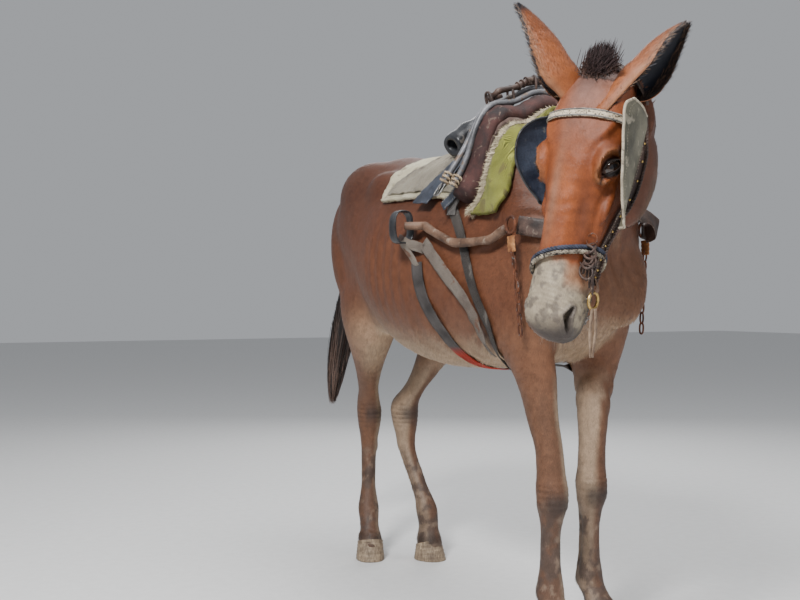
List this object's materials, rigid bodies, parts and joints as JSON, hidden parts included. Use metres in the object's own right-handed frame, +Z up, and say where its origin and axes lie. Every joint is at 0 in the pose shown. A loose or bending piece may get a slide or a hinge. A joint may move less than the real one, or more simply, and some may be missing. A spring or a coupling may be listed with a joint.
{
  "type": "harnessed mule",
  "caption": "Life-size still of a standing bay mule, head turned, in a worn cart harness with bridle, blinkers, collar and saddle.",
  "frame": {"origin": "on the ground under the middle of the bounding box", "axes": "+Z up, -Y ahead of the mule, +X to its left"},
  "size_m": [0.6984, 1.843, 1.4853],
  "materials": {
    "belly_band": "worn",
    "bit_ring_l": "worn metal",
    "bit_ring_r": "worn metal",
    "blinker_l": "worn",
    "blinker_r": "worn",
    "breast_chain_l": "worn metal",
    "breast_chain_r": "worn metal",
    "breast_ring_l": "worn metal",
    "breast_ring_r": "worn metal",
    "breast_strap": "worn",
    "breast_tab_l": "worn",
    "breast_tab_r": "worn",
    "browband": "worn",
    "cheekpiece_l": "worn",
    "cheekpiece_r": "worn",
    "collar_felt": "worn",
    "collar_loops": "worn",
    "collar_roll": "worn",
    "crownpiece": "worn",
    "curb_strap": "worn",
    "ear_l": "short coat, matt with a slight gloss",
    "ear_r": "short coat, matt with a slight gloss",
    "eye_l": "wet and glossy",
    "eye_r": "wet and glossy",
    "forelock": "coarse hair",
    "hame_front": "worn metal",
    "hame_rear": "worn metal",
    "head": "short coat, matt with a slight gloss",
    "hoof_lf": "horn, matt",
    "hoof_lh": "horn, matt",
    "hoof_rf": "horn, matt",
    "hoof_rh": "horn, matt",
    "leg_lf": "short coat, matt with a slight gloss",
    "leg_lh": "short coat, matt with a slight gloss",
    "leg_rf": "short coat, matt with a slight gloss",
    "leg_rh": "short coat, matt with a slight gloss",
    "mane": "coarse hair",
    "neck": "short coat, matt with a slight gloss",
    "noseband": "worn",
    "saddle_flap_l": "worn",
    "saddle_flap_r": "worn",
    "saddle_pad": "worn",
    "saddle_roll": "worn",
    "strap_front": "worn",
    "strap_side_l": "worn",
    "strap_side_r": "worn",
    "strap_thin_l": "worn",
    "strap_thin_r": "worn",
    "tail": "coarse hair",
    "torso": "short coat, matt with a slight gloss",
    "trace_l": "worn",
    "trace_r": "worn",
    "tug_loop_l": "worn",
    "tug_loop_r": "worn"
  },
  "bodies": {
    "root": {"belly_band": "belly_band", "bit_ring_l": "bit_ring_l", "bit_ring_r": "bit_ring_r", "blinker_l": "blinker_l", "blinker_r": "blinker_r", "breast_chain_l": "breast_chain_l", "breast_chain_r": "breast_chain_r", "breast_ring_l": "breast_ring_l", "breast_ring_r": "breast_ring_r", "breast_strap": "breast_strap", "breast_tab_l": "breast_tab_l", "breast_tab_r": "breast_tab_r", "browband": "browband", "cheekpiece_l": "cheekpiece_l", "cheekpiece_r": "cheekpiece_r", "collar_felt": "collar_felt", "collar_loops": "collar_loops", "collar_roll": "collar_roll", "crownpiece": "crownpiece", "curb_strap": "curb_strap", "ear_l": "ear_l", "ear_r": "ear_r", "eye_l": "eye_l", "eye_r": "eye_r", "forelock": "forelock", "hame_front": "hame_front", "hame_rear": "hame_rear", "head": "head", "hoof_lf": "hoof_lf", "hoof_lh": "hoof_lh", "hoof_rf": "hoof_rf", "hoof_rh": "hoof_rh", "leg_lf": "leg_lf", "leg_lh": "leg_lh", "leg_rf": "leg_rf", "leg_rh": "leg_rh", "mane": "mane", "neck": "neck", "noseband": "noseband", "saddle_flap_l": "saddle_flap_l", "saddle_flap_r": "saddle_flap_r", "saddle_pad": "saddle_pad", "saddle_roll": "saddle_roll", "strap_front": "strap_front", "strap_side_l": "strap_side_l", "strap_side_r": "strap_side_r", "strap_thin_l": "strap_thin_l", "strap_thin_r": "strap_thin_r", "tail": "tail", "torso": "torso", "trace_l": "trace_l", "trace_r": "trace_r", "tug_loop_l": "tug_loop_l", "tug_loop_r": "tug_loop_r"}
  },
  "joints": []
}
